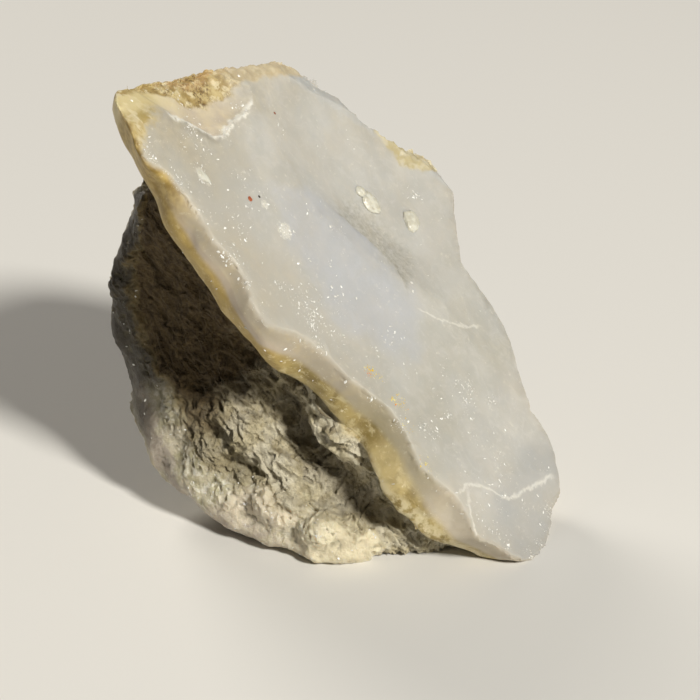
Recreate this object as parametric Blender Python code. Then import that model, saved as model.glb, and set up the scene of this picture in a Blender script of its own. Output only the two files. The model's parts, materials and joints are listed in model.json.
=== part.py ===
"""A broken nodule of blue lace agate, standing on its lower corner and on the host rock behind it.

One natural piece: a chalcedony slab with a fresh, shell-scarred face and a banded edge, the brown
host rock behind it, and the knobbly chalcedony rind round the outside. Metres, +Z up. The origin is
the middle of the box round the stone, on the ground.

The stone is laid out in the slab's own frame, in millimetres: (across, up, deep). Across and up run
over the face, from the slab's lower corner, and deep is the distance behind the plane of the face.
"""

import math

import bmesh
import bpy
from mathutils import Matrix, Vector, noise

MM = 0.001

# The lie of the slab: the way the face looks out, the way up the slab and the way across it.
FACE_NORMAL = Vector((0.6804, -0.3992, 0.6146))
UP_SLAB = Vector((-0.6368, 0.0929, 0.7654))
ACROSS_SLAB = Vector((0.3627, 0.9121, 0.1910))

BAND_DEPTH = 6.0          # thickness of the banded chalcedony
BAND_DRAFT = 0.97         # the hidden edges draw in by this factor through the band
GROUND = -1.0             # height of the ground, below the slab's lower corner
RING_POINTS = 80          # points along each side of the slab's rings
SECTION_STEPS = 6         # points from one written point of a section to the next
REMESH_SIZE = 0.62        # voxel that fuses the forms into one body
TRIANGLES = 9000          # facets kept in the finished solid

# The face's edge: (across, up) down the broken left side from the top corner to the lower corner.
FACE_LEFT = [
    (-0.5, 77), (-3, 75), (-5.5, 71), (-6.5, 68.5), (-4.5, 66), (-4.5, 60), (-6, 57.5), (-6, 52),
    (-8.5, 48.5), (-9.5, 45), (-5, 41.5), (-4, 38), (-3, 32), (-1, 27), (-2, 22.5), (-4.5, 19),
    (-2.5, 12.5), (-5, 8), (-2.5, 4), (-0.5, 0),
]
# The rest of it: along the lower edge, up the right side and back along the top.
FACE_RIGHT = [
    (3, -2.5), (8, -2.5), (11.5, -1), (15.5, -1), (20, 3), (22.5, 6.5), (22, 8.5), (28.5, 16.5),
    (31.5, 22), (32, 25.5), (32.5, 28), (39, 33), (43, 36), (43, 40.5), (41.5, 43), (37.5, 48),
    (35.5, 53), (36, 56), (33, 61.5), (30, 65.5), (23.5, 68), (16, 71), (6, 75),
]
# Lower edge of the band down the left side.
BAND_LEFT = [
    (3, 75), (0.5, 70.5), (-1, 66.5), (-3.5, 60), (-4, 52), (-5, 49.5), (-4.5, 44.5), (-5, 39),
    (-3, 35.5), (-4, 31.5), (-2.5, 25.5), (-5.5, 22), (-6, 16), (-5.5, 13), (-4, 8.5), (-1.5, 6),
    (0.5, 2),
]
FACE_MIDDLE = (18, 37)

# Sections of the host rock: depth, seven points down the broken wall, five round the hidden back.
HOST_SECTIONS = [
    (4, [(1.5, 66), (0, 54), (-0.5, 43), (0, 34), (0.5, 27), (-1, 18), (0, 8)],
        [(10, 0), (25, 12), (40, 37.5), (33, 57), (14, 70)]),
    (9, [(2, 65.5), (0, 54), (0, 43), (-1, 35), (-3.5, 28), (-3.5, 18), (-1, 7)],
        [(11, 0), (25.5, 13), (41, 38), (33.5, 57.5), (14, 70)]),
    (13, [(3, 64), (1.5, 54), (1.5, 43), (1, 35), (0.5, 28), (-3.5, 18), (-7, 11.5)],
         [(9, 4), (25, 14), (39.5, 38.5), (31.5, 57), (14, 67)]),
    (18, [(4.5, 62), (2.5, 53), (0.5, 43), (-2, 36), (-4.5, 28.5), (-8, 20), (-10, 16)],
         [(8, 8), (24, 12), (36, 38), (28.5, 54.5), (13.5, 63.5)]),
    (25, [(5, 59.5), (2.5, 52), (-0.5, 43), (-3.5, 36.5), (-5.5, 31), (-7.5, 26), (-7, 21.5)],
         [(8, 14.5), (22.5, 16.5), (32, 37), (24.5, 50.5), (13, 59.5)]),
    (31, [(5.5, 53), (3, 49), (0, 43.5), (-2.5, 38.5), (-4, 35), (-5.5, 31), (-5, 27)],
         [(6, 21), (19, 21.5), (26, 37), (20.5, 46), (13, 53)]),
    (38, [(7, 43), (4.5, 41.5), (3, 40), (2, 38), (2, 36), (2.5, 34), (3.5, 32.5)],
         [(8, 29.5), (13.5, 29.5), (16, 36), (14, 40), (11, 43)]),
]

# Knobs of the rind round the wall's outer edge: (across, up, deep), radius.
RIND_KNOBS = [
    ((7.5, 60.5, 17), 2.7), ((8.8, 56.5, 24), 3.1), ((8.5, 54, 27.5), 3.2), ((6, 49, 29.5), 3.2),
    ((4, 44, 29.5), 3.4), ((2, 39.5, 30), 3.8), ((1, 34.5, 30), 4.0), ((-0.5, 30, 28), 4.2),
    ((-3, 26, 25), 4.0), ((-4.5, 23, 21), 4.4), ((-6, 19, 17), 3.8), ((-5, 15.5, 14), 3.6),
]

# Broken flats of the back: the way each looks out, and how far it lies inside the rounded form.
BACK_FLATS = [
    ((0.25, 0.93, -0.27), 4.0), ((-0.70, 0.64, 0.32), 4.0), ((0.62, 0.35, -0.70), 3.0),
    ((-0.80, 0.25, -0.55), 2.5), ((-0.20, 0.78, 0.59), 3.0), ((-0.45, 0.80, -0.40), 3.5),
]

# Shell-shaped scars of the face: middle, half width, half length, turn in degrees, depth.
SCARS = [
    ((8, 35), 13, 25, 20, 1.0), ((28.5, 44), 14.5, 21, 20, 1.8), ((6, 60), 13, 12, 0, 0.6),
    ((14, 16), 13, 12, -20, 0.7), ((28, 24), 9, 8, 30, 0.5), ((26, 61), 9, 7, 0, 0.7),
    ((12.5, 69), 8, 5.2, -15, 1.3), ((7, 1), 14, 6.5, -32, 0.9),
]
# Worn bevels at the face's edge: a point where each starts, the way it looks out, fall per mm.
BEVELS = [
    ((14.5, 67.8), (0.27, 0.96), 0.42), ((-3.5, 72.5), (-0.75, 0.66), 0.40),
    ((38, 41.5), (0.9, 0.43), 0.50),
]

# Lumps of the weathered surface: size of each kind, and its height on rock and on the band's edge.
COARSE_SIZE, COARSE_ROCK, COARSE_ALL = 7.0, 1.1, 0.10
MIDDLE_SIZE, MIDDLE_ROCK, MIDDLE_BAND = 2.8, 0.65, 0.35
FINE_SIZE, FINE_ROCK, FINE_BAND = 1.25, 0.35, 0.25

# The flat spot under the host rock: middle and radii, and how far the rock lifts beside it.
SPOT_MIDDLE = (-25.0, 15.0)
SPOT_RADII = (14.0, 14.0)
SPOT_LIFT = 2.4


def place(across, up, deep=0.0):
    """A point of the slab's frame, in metres in the world."""
    return (ACROSS_SLAB * across + UP_SLAB * up - FACE_NORMAL * deep) * MM


def smoothstep(value, low, high):
    t = min(max((value - low) / (high - low), 0.0), 1.0)
    return t * t * (3 - 2 * t)


def spread(corners, count):
    """Points evenly spaced along an open line, without its last one."""
    corners = [Vector(corner) for corner in corners]
    lengths = [(end - start).length for start, end in zip(corners, corners[1:])]
    points = []
    for step in range(count):
        left = sum(lengths) * step / count
        index = 0
        while left > lengths[index]:
            left -= lengths[index]
            index += 1
        points.append(corners[index].lerp(corners[index + 1], left / lengths[index]))
    return points


def rounded(corners, steps):
    """Points along a smooth closed line through every corner."""
    corners = [Vector(corner) for corner in corners]
    points = []
    for index in range(len(corners)):
        before, start, end, after = (corners[(index + shift) % len(corners)] for shift in (-1, 0, 1, 2))
        for step in range(steps):
            t = step / steps
            points.append(0.5 * (
                2 * start + (end - before) * t
                + (2 * before - 5 * start + 4 * end - after) * t ** 2
                + (3 * start - before - 3 * end + after) * t ** 3
            ))
    return points


def loft(bm, rings):
    """A closed skin through rings of equal length, capped at both ends."""
    loops = [[bm.verts.new(point) for point in ring] for ring in rings]
    for upper, lower in zip(loops, loops[1:]):
        for index in range(len(upper)):
            after = (index + 1) % len(upper)
            bm.faces.new((upper[index], upper[after], lower[after], lower[index]))
    bm.faces.new(loops[0])
    bm.faces.new(loops[-1])


def add_slab(bm):
    """The face's outline carried back through the band."""
    middle = Vector(FACE_MIDDLE)
    band_right = [middle + (Vector(corner) - middle) * BAND_DRAFT for corner in FACE_RIGHT]
    face_ring = spread(FACE_LEFT + FACE_RIGHT[:1], RING_POINTS)
    face_ring += spread(FACE_RIGHT + FACE_LEFT[:1], RING_POINTS)
    band_ring = spread(BAND_LEFT + band_right[:1], RING_POINTS)
    band_ring += spread(band_right + BAND_LEFT[:1], RING_POINTS)
    loft(bm, [
        [place(point[0], point[1]) for point in face_ring],
        [place(point[0], point[1], BAND_DEPTH) for point in band_ring],
    ])


def add_host_rock(bm):
    """The rock behind the slab, set back beside the band and bellying out lower down."""
    loft(bm, [
        [place(point.x, point.y, deep) for point in rounded(wall + back, SECTION_STEPS)]
        for deep, wall, back in HOST_SECTIONS
    ])


def add_rind_knobs(bm):
    for middle, radius in RIND_KNOBS:
        where = Matrix.Translation(place(*middle))
        bmesh.ops.create_icosphere(bm, subdivisions=2, radius=radius * MM, matrix=where)


def make_body():
    """One fused body of the slab, the host rock and the knobs."""
    bm = bmesh.new()
    add_slab(bm)
    add_host_rock(bm)
    add_rind_knobs(bm)
    bmesh.ops.recalc_face_normals(bm, faces=bm.faces)
    mesh = bpy.data.meshes.new("blue_lace_agate")
    bm.to_mesh(mesh)
    bm.free()
    body = bpy.data.objects.new("blue_lace_agate", mesh)
    bpy.context.scene.collection.objects.link(body)
    fuse = body.modifiers.new("Fuse", "REMESH")
    fuse.mode = "VOXEL"
    fuse.voxel_size = REMESH_SIZE * MM
    apply(body, fuse)
    return body


def apply(body, modifier):
    bpy.context.view_layer.objects.active = body
    bpy.ops.object.modifier_apply(modifier=modifier.name)


def break_back(body):
    """Flatten the hidden side into a few broken planes, and leave the slab alone."""
    vertices = body.data.vertices
    for outward, inset in BACK_FLATS:
        outward = Vector(outward).normalized()
        limit = max(outward.dot(vertex.co) for vertex in vertices) - inset * MM
        for vertex in vertices:
            deep = -vertex.co.dot(FACE_NORMAL) / MM
            share = smoothstep(deep, BAND_DEPTH - 2, BAND_DEPTH + 3)
            vertex.co -= outward * max(outward.dot(vertex.co) - limit, 0.0) * share


def face_fall(across, up):
    """How far the broken face lies behind its plane."""
    fall = 0.0
    for middle, half_width, half_length, turn, depth in SCARS:
        away = Matrix.Rotation(-math.radians(turn), 2) @ (Vector((across, up)) - Vector(middle))
        fall = max(fall, depth * (1 - (away.x / half_width) ** 2 - (away.y / half_length) ** 2))
    for start, outward, slope in BEVELS:
        fall = max(fall, slope * (Vector((across, up)) - Vector(start)).dot(Vector(outward)))
    return fall


def lumps(point, deep, facing):
    """How far the weathered surface stands out from its smooth form."""
    coarse = noise.noise(point / COARSE_SIZE + Vector((3.1, 0.4, 7.7)))
    middle = noise.noise(point / MIDDLE_SIZE + Vector((9.2, 5.1, 1.3)))
    fine = noise.noise(point / FINE_SIZE + Vector((2.2, 8.6, 4.4)))
    rock = smoothstep(deep, BAND_DEPTH - 1.0, BAND_DEPTH + 1.5)
    edge = (1 - rock) * (1 - smoothstep(facing, 0.3, 0.7))
    on_rock = COARSE_ROCK * coarse + MIDDLE_ROCK * middle + FINE_ROCK * fine
    return rock * on_rock + edge * (MIDDLE_BAND * middle + FINE_BAND * fine) + COARSE_ALL * coarse


def weather(body):
    """Press the scars into the face, roughen the rest and lift the rock beside the flat spot."""
    normals = [vertex.normal.copy() for vertex in body.data.vertices]
    for vertex, normal in zip(body.data.vertices, normals):
        point = vertex.co / MM
        deep = -point.dot(FACE_NORMAL)
        facing = normal.dot(FACE_NORMAL)
        on_face = smoothstep(facing, 0.2, 0.6) * (1 - smoothstep(deep, 1.0, 2.0))
        fall = face_fall(point.dot(ACROSS_SLAB), point.dot(UP_SLAB)) * on_face
        point += normal * lumps(point, deep, facing) - FACE_NORMAL * fall
        from_spot = math.hypot(
            (point.x - SPOT_MIDDLE[0]) / SPOT_RADII[0], (point.y - SPOT_MIDDLE[1]) / SPOT_RADII[1]
        )
        low = (1 - smoothstep(point.z, GROUND, 5.0)) * smoothstep(deep, BAND_DEPTH - 1, BAND_DEPTH + 3)
        point.z += SPOT_LIFT * smoothstep(from_spot, 1.0, 1.5) * low
        vertex.co = point * MM


def thin_out(body):
    """Keep fewer, larger facets."""
    body.data.calc_loop_triangles()
    thin = body.modifiers.new("Thin", "DECIMATE")
    thin.ratio = TRIANGLES / len(body.data.loop_triangles)
    apply(body, thin)


def stand(body):
    """Cut the underside flat at the ground, then set the middle of the box over the origin."""
    bpy.ops.mesh.primitive_cube_add(size=0.2, location=(0, 0, GROUND * MM - 0.1))
    ground = bpy.context.object
    cut = body.modifiers.new("Stand", "BOOLEAN")
    cut.object = ground
    cut.operation = "DIFFERENCE"
    cut.solver = "EXACT"
    apply(body, cut)
    bpy.data.objects.remove(ground, do_unlink=True)
    corners = [Vector(corner) for corner in body.bound_box]
    low = Vector([min(corner[axis] for corner in corners) for axis in range(3)])
    high = Vector([max(corner[axis] for corner in corners) for axis in range(3)])
    to_origin = -Vector(((low.x + high.x) / 2, (low.y + high.y) / 2, low.z))
    body.data.transform(Matrix.Translation(to_origin))
    return to_origin


def add_material(body):
    """Waxy pale chalcedony."""
    material = bpy.data.materials.new("Chalcedony")
    material.use_nodes = True
    shader = material.node_tree.nodes["Principled BSDF"]
    shader.inputs["Base Color"].default_value = (0.56, 0.56, 0.52, 1)
    shader.inputs["Roughness"].default_value = 0.5
    shader.inputs["IOR"].default_value = 1.54
    body.data.materials.append(material)


for existing in list(bpy.data.objects):
    bpy.data.objects.remove(existing, do_unlink=True)

stone = make_body()
break_back(stone)
weather(stone)
thin_out(stone)
to_origin = stand(stone)
add_material(stone)
print("moved by", [round(value / MM, 3) for value in to_origin], "mm")
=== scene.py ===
"""The finish of a broken nodule of blue lace agate, and the plain studio that it stands in."""

import json
import math

import bpy
import numpy as np
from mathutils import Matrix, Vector, noise

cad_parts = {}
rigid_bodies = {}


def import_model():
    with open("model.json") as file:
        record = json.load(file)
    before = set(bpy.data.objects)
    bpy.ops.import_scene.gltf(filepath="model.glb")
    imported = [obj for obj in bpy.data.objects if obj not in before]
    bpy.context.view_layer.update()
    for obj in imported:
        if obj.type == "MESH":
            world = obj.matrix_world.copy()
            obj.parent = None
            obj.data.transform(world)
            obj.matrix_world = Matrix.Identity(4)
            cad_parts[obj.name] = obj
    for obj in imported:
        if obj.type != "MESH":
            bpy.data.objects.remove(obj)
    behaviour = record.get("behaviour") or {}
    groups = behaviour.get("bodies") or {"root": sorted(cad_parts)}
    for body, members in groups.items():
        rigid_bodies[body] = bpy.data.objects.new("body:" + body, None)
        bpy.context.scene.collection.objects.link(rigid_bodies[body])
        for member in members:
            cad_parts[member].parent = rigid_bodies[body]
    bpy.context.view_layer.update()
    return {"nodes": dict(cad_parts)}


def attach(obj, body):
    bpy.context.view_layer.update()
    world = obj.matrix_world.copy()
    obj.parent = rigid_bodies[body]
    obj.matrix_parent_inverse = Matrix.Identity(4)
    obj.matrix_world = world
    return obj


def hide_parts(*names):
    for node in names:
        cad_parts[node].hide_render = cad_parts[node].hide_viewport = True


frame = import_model()

# ------------------------------------------------------------------------------------------------
# The stone: one natural piece. A slab of pale chalcedony, broken across and edged with a lavender
# and a honey band, grew on rough brown host rock that a knobbly chalcedony rind wraps round. The
# solid's surface is cut finer here, and its scars, chips, crumbs and grain are worked into it.

MM = 0.001
SLAB_CORNER = np.array((23.966, -20.086, 1.0))     # lower corner of the slab, in millimetres
FACE_NORMAL = np.array((0.6804, -0.3992, 0.6146))  # the way the broken face looks out
UP_SLAB = np.array((-0.6368, 0.0929, 0.7654))
ACROSS_SLAB = np.array((0.3627, 0.9121, 0.1910))
TOP_CORNER = (-1.0, 77.0, 1.5)                     # its top corner, as across, up and deep
BAND_DEPTH = 6.0                                   # thickness of the banded chalcedony
GRAIN = 0.2                                        # spacing of the finer surface
# the most that the finished mesh may have
TRIANGLES = 196000                                 # the finished mesh is thinned to at most about this many triangles

# Shell-shaped scars of the face: middle, half width, half length, turn in degrees, depth.
SCARS = [
    ((8, 35), 13, 25, 20, 1), ((28.5, 44), 14.5, 21, 20, 1.8), ((6, 60), 13, 12, 0, 0.6),
    ((14, 16), 13, 12, -20, 0.7), ((28, 24), 9, 8, 30, 0.5), ((26, 61), 9, 7, 0, 0.7),
    ((12.5, 69), 8, 5.2, -15, 1.3), ((7, 1), 14, 6.5, -32, 0.9),
]
# Worn bevels at the face's edge: a point where each starts, the way it looks out, fall per mm.
BEVELS = [
    ((14.5, 67.8), (0.27, 0.96), 0.42), ((-3.5, 72.5), (-0.75, 0.66), 0.40),
    ((38, 41.5), (0.9, 0.43), 0.50),
]
# Lines on the face, as across and up: the lower edge of the flake scar at the top, the valley,
# the long ridge beside it, which is as up and across, and where the earthy crust starts at the
# top and at the right.
FLAKE_EDGE = [
    (3.5, 70.6), (5.4, 68.9), (6.8, 66.9), (7.8, 65.2), (9.7, 64.1), (13, 64.6), (16.4, 64.2),
    (19.5, 65.2),
]
VALLEY = [(22, 47.5), (22.6, 44.5), (24, 41.3), (24.6, 38)]
RIDGE = [
    (30, 17.3), (32.5, 17.6), (36.4, 20.2), (38.3, 20.2), (41.7, 19.8), (43.6, 19.1), (45.3, 18.9),
    (48.5, 17.3), (50, 16.5),
]
TOP_CRUST = [
    (-6, 79), (-2, 76.9), (3.4, 75.3), (6.4, 73.2), (8.2, 70.4), (10.4, 68.7), (13.2, 67.7),
    (16.4, 67.2), (19.3, 66.9), (23.1, 65.9), (26.9, 64.6), (29.5, 63.2), (33, 62),
]
RIGHT_CRUST = [(37.2, 43.2), (38.6, 41.8), (40.7, 40.4), (43, 39), (45, 38), (47, 37.9)]

# Places on the broken wall, as across, up and deep. The rim where the rind comes to the wall, and
# how far the rind reaches; the gully along the band; the split above the rind; and the lumps and
# pockets, with their reach and rise.
RIM = [
    (3, 65, 12, 2), (4, 64, 14, 3), (6, 60, 22, 4), (6, 56, 28, 5), (4, 50, 31, 6),
    (0, 44, 32, 7), (-2.5, 39, 33, 7.5), (-4, 33, 33, 8), (-5, 27, 31, 8.5), (-7, 22, 25, 7.5),
    (-9, 18, 19, 6), (-8, 14, 14, 4),
]
GULLY = [
    (0.7, 34, 13, 1.8), (-0.2, 29.7, 13.6, 2.3), (-2, 25, 13, 2.4), (-3.1, 20.7, 12.2, 2.2),
    (-3.8, 17, 10.8, 1.7),
]
SPLIT = [
    (-4.5, 31.3, 22.4, 0.5), (-5.1, 27.7, 18.9, 0.7), (-6, 23.5, 16.7, 0.5), (-7.0, 20.4, 14.5, 0.2),
]
LUMPS = [
    ((-0.9, 34, 7.1), 1.5, 1.6), ((-1.8, 31.2, 7), 1.8, 1.8), ((-2.2, 28, 7), 2, 2.1),
    ((-2.6, 24.9, 7.2), 1.8, 1.9), ((-2.9, 22, 7.4), 1.5, 1.4), ((-3.3, 12.9, 9.9), 1.3, 1.2),
    ((-3.8, 27.5, 16), 2.2, 0.9), ((-7.4, 19.6, 13.2), 1.3, 0.7),
    ((-6.3, 14.9, 11.3), 1.3, 0.8), ((-3.4, 35.8, 22.8), 1.5, -1.2), ((-4.4, 32.2, 23), 1.2, -1),
    ((-0.5, 41.5, 21.5), 2.2, -0.8), ((-2.3, 37.5, 19), 1.8, 0.5), ((-4, 33, 20), 1.8, 0.6),
    ((-7, 26, 23.4), 2.6, 0.9),
]
# Where the slab's and the rind's edges reach further: middle, reach, and the way and how far.
REACHES = [
    ((1, 76.5, 2), 4.5, (-0.1, 0.8, 0)), ((32, 63, 1.5), 3.2, (0.45, 0.45, 0)),
    ((35, 55.5, 1.5), 4, (1.2, 0.4, 0)), ((37.5, 48.5, 1.5), 4, (0.9, 0.5, 0)),
    ((42, 41, 1.5), 3.6, (1.2, 0.8, 0)), ((29.5, 19.5, 0.8), 3, (0.7, 0, 0)),
    ((21, 69, 1), 1.8, (0, 0.35, 0)), ((33.2, 61.8, 1.8), 1.8, (0.6, 0.3, 0)),
    ((-0.6, 77.4, 1.6), 1.3, (0.5, -1.1, 0)), ((5, 61, 21.5), 3.5, (-0.4, 0, 0.5)),
    ((3.6, 66.2, 12.1), 1.8, (0.6, 0, -0.4)), ((6, 63.5, 17.5), 2.5, (-0.4, 0, 0.4)),
    ((-1, 38, 35), 3, (-0.6, -0.3, 0.6)), ((1, 40.5, 34.5), 5, (-0.5, -0.5, 0.4)),
    ((-2, 33, 34), 5, (-0.5, -0.5, 0.4)), ((4.5, 58, 26), 5, (-0.5, 0, 0.4)),
    ((2, 73, 4.5), 3, (-0.4, 0, 0)),
]


def smoothstep(value, low, high):
    """0 below low, 1 above high, smooth between."""
    share = np.clip((value - low) / (high - low), 0.0, 1.0)
    return share * share * (3 - 2 * share)


def line_at(places, line):
    """The height of a line of (place, height) points."""
    line = np.array(line, float)
    return np.interp(places, line[:, 0], line[:, 1])


def near_line(places, line):
    """Distance to a line of points, each with a reach at its end, over the reach there."""
    nearest = np.full(len(places), 1e9)
    for start, end in zip(line, line[1:]):
        start, end = np.array(start, float), np.array(end, float)
        run = end[:-1] - start[:-1]
        share = np.clip((places - start[:-1]) @ run / (run @ run), 0, 1)
        gap = np.linalg.norm(places - start[:-1] - share[:, None] * run, axis=1)
        nearest = np.minimum(nearest, gap / (start[-1] + share * (end[-1] - start[-1])))
    return nearest


def face_fall(across, up):
    """How far the broken face lies behind its plane, in millimetres."""
    fall = np.zeros_like(across)
    for (middle_a, middle_u), half_width, half_length, turn, depth in SCARS:
        cos, sin = math.cos(math.radians(turn)), math.sin(math.radians(turn))
        wide = (across - middle_a) * cos + (up - middle_u) * sin
        long = (up - middle_u) * cos - (across - middle_a) * sin
        fall = np.maximum(fall, depth * (1 - (wide / half_width) ** 2 - (long / half_length) ** 2))
    for (start_a, start_u), (out_a, out_u), slope in BEVELS:
        fall = np.maximum(fall, slope * ((across - start_a) * out_a + (up - start_u) * out_u))
    valley = near_line(np.stack([across, up], axis=1), [(*place, 2.0) for place in VALLEY])
    flake = smoothstep(up - line_at(across, FLAKE_EDGE), -0.15, 0.35)
    flake *= smoothstep(across, 3.3, 4.6) * (1 - smoothstep(across, 15, 20))
    past_ridge = across - line_at(up, RIDGE)
    drop = smoothstep(past_ridge, -0.1, 0.5) * np.exp(-np.maximum(past_ridge, 0) / 2.4)
    drop *= smoothstep(up, 32, 37) * (1 - smoothstep(up, 44, 50))
    return fall + 0.4 * np.exp(-valley ** 2) + 0.42 * drop + 0.45 * flake


noise.seed_set(9)  # noise_vector takes its offsets from this seed


def lumpy(points, size, seed, octaves=1):
    """Smooth noise from about -1 to 1 with lumps of the given size, in millimetres."""
    shift = np.array((seed * 3.7, seed * 1.9, seed * 5.3))
    if octaves == 1:
        return np.array([noise.noise(point) for point in points / size + shift])
    return np.array([noise.fractal(point, 0.8, 2.1, octaves) for point in points / size + shift])


def ridged(points, size, seed):
    """Sharp little ridges with rounded hollows between them, from 1 down to about -0.5."""
    return 1 - 2.6 * np.abs(lumpy(points, size, seed))


def knobbly(points, size, seed, warp=0.3):
    """Round knobs of the given size: 1 at a knob's top, 0 in the gaps."""
    heights = np.empty(len(points))
    shift = Vector((seed * 2.3, seed * 4.1, seed * 0.7))
    for index, point in enumerate(points / size):
        place = Vector(point) + shift
        heights[index] = noise.voronoi(place + warp * noise.noise_vector(place * 1.7))[0][0]
    return 1 - np.minimum(heights, 1) ** 2


def chipped(points, size, seed, warp=0.35):
    """Small flat facets at odd tilts, from about -1 to 1."""
    heights = np.empty(len(points))
    shift = Vector((seed * 5.1, seed * 0.9, seed * 2.7))
    for index, point in enumerate(points / size):
        place = Vector(point) + shift
        place += warp * noise.noise_vector(place * 1.3)
        middles = noise.voronoi(place)[1]
        tilt = noise.noise_vector(middles[0] * 7.3)
        heights[index] = (place - middles[0]).dot(tilt) * 2 + noise.noise(middles[0] * 5.7)
    return heights


def read(mesh, layer):
    """The places or the normals of the vertices, a row for each."""
    values = np.empty(len(mesh.vertices) * 3)
    mesh.vertices.foreach_get(layer, values)
    return values.reshape(-1, 3)


def slab_frame(points):
    """Across, up and deep of points given in millimetres."""
    local = points - SLAB_CORNER
    return local @ ACROSS_SLAB, local @ UP_SLAB, -local @ FACE_NORMAL


def spread_out(mesh, values, rounds, free=1.0):
    """Values at the vertices, each blended with its neighbours' some rounds over, where free."""
    ends = np.empty(len(mesh.edges) * 2, int)
    mesh.edges.foreach_get("vertices", ends)
    first, second = ends[0::2], ends[1::2]
    count = np.bincount(ends, minlength=len(mesh.vertices))
    columns = [column.copy() for column in np.atleast_2d(values.T)]
    for _ in range(rounds):
        for index, column in enumerate(columns):
            total = np.bincount(first, column[second], len(count))
            total += np.bincount(second, column[first], len(count))
            columns[index] = column + 0.6 * free * (total / count - column)
    return columns[0] if values.ndim == 1 else np.stack(columns, axis=1)


def calm(mesh, points, most, rounds=3):
    """Draw in each point that stands further than most from the middle of its neighbours."""
    for _ in range(rounds):
        middle = spread_out(mesh, points, 1)
        gap = np.maximum(np.linalg.norm(points - middle, axis=1), 1e-9)
        points = middle + (points - middle) * np.minimum(1, most / gap)[:, None]
    return points


def apply_modifier(obj, name, kind, **settings):
    """Add a modifier with its settings, and apply it."""
    modifier = obj.modifiers.new(name, kind)
    for key, value in settings.items():
        setattr(modifier, key, value)
    bpy.context.view_layer.objects.active = obj
    bpy.ops.object.modifier_apply(modifier=modifier.name)


def finishes(mesh, points):
    """Where each finish lies: (slab coordinates, face, side, rind), the last three from 0 to 1."""
    normals = spread_out(mesh, read(mesh, "normal"), 3)
    across, up, deep = slab_frame(points)
    facing = normals @ FACE_NORMAL / np.maximum(np.linalg.norm(normals, axis=1), 0.01)
    behind = deep - face_fall(across, up)
    face = smoothstep(facing, 0.35, 0.7) * (1 - smoothstep(behind, 0.7, 1.3))
    side = smoothstep(deep + 0.7 * lumpy(points, 3.0, 21, 2), BAND_DEPTH - 0.3, BAND_DEPTH + 0.3)
    rim = near_line(np.stack([across, up, deep], axis=1), RIM) + 0.22 * lumpy(points, 3.0, 1, 3)
    rind = side * (1 - smoothstep(rim, 0.75, 1.05))
    return (across, up, deep), face, side, rind


def crust_depth(across, up):
    """How far inside the earthy crust a place on the slab lies, in millimetres."""
    right = (across - line_at(up, [(height, place) for place, height in reversed(RIGHT_CRUST)])) * 0.8
    right = np.where((up > 37.0) & (up < 50), right, -5)
    return np.maximum(up - line_at(across, TOP_CRUST), right)


bpy.ops.object.select_all(action="DESELECT")
node = frame["nodes"]["blue_lace_agate"]
stone = bpy.data.objects.new("agate_stone", node.data.copy())
bpy.context.scene.collection.objects.link(stone)
stone.data.materials.clear()
stone.select_set(True)
bpy.context.view_layer.objects.active = stone
bpy.ops.object.mode_set(mode="EDIT")
bpy.ops.mesh.select_all(action="SELECT")
bpy.ops.mesh.remove_doubles(threshold=0.00001)
bpy.ops.object.mode_set(mode="OBJECT")
apply_modifier(stone, "Finer", "REMESH", mode="VOXEL", voxel_size=GRAIN * MM)

# The facets are rounded off, but the crest between the face and the band stays crisp, and thin
# edges keep their reach. The face is set on its true scars, away from its edges.
mesh = stone.data
points = read(mesh, "co") / MM
(across, up, deep), face, side, rind = finishes(mesh, points)
inside = smoothstep(spread_out(mesh, face, 12), 0.8, 0.98)
crest = spread_out(mesh, face, 3)
at_crest = 4 * crest * (1 - crest) * (1 - side) * (up < 70)
shift = spread_out(mesh, points, 30, 1 - 0.85 * at_crest) - points
length = np.maximum(np.linalg.norm(shift, axis=1), 1e-9)
tip = np.exp(-((np.stack([across, up, deep], axis=1) - TOP_CORNER) ** 2).sum(axis=1) / 9)
points += shift * np.minimum(1, (0.3 + 0.5 * side + 1.5 * tip) / length)[:, None]
across, up, deep = slab_frame(points)
set_in = np.clip((face_fall(across, up) - deep) * inside, -0.9, 0.9)
points -= FACE_NORMAL * set_in[:, None]
places = np.stack([across, up, deep], axis=1)
for middle, reach, (way_a, way_u, way_d) in REACHES:
    share = np.exp(-((places - middle) ** 2).sum(axis=1) / reach ** 2)
    points += share[:, None] * (way_a * ACROSS_SLAB + way_u * UP_SLAB - way_d * FACE_NORMAL)
points = calm(mesh, points, 0.09)
mesh.vertices.foreach_set("co", (points * MM).ravel())
mesh.update()

# Where the surface folds sharply its smoothed direction is short, and it is moved less there.
(across, up, deep), face, side, rind = finishes(mesh, points)
rock, band = side * (1 - rind), (1 - side) * (1 - face)
crest = spread_out(mesh, face, 6)
outward = spread_out(mesh, read(mesh, "normal"), 10)
outward /= np.maximum(np.linalg.norm(outward, axis=1), 0.6)[:, None]
broken_wall = smoothstep(-(outward @ ACROSS_SLAB), 0.3, 0.7)

# The band swells out from the crest to its honey part, and overhangs the rock.
high = smoothstep(up, 37, 42)
swell = smoothstep(deep, 0.1, 3.6 - 1.6 * high) + 0.45 * high * smoothstep(deep, 1.4, 4.0)
swell *= 1 - smoothstep(deep, BAND_DEPTH - 0.2 - 0.7 * high, BAND_DEPTH + 0.9 - 0.5 * high)
swell *= smoothstep(up, 5, 14) * (1 - smoothstep(up, 58, 68)) * broken_wall
swell *= 0.9 + 0.25 * lumpy(points, 8.0, 11)
swell *= 1 - 0.75 * smoothstep(up, 18, 22) * (1 - smoothstep(up, 33, 37)) + 0.45 * high
points -= ACROSS_SLAB * swell[:, None]

# The earthy crust lies on the slab's edge like a thin coat, thickest in the middle of the top.
coat = smoothstep(crust_depth(across, up), -0.2, 1.4) * (1 - smoothstep(deep, 5, 8))
coat *= 0.5 + 0.5 * smoothstep(across, 3, 9)
points += UP_SLAB * (0.5 * coat * (up > 55))[:, None]

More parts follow.
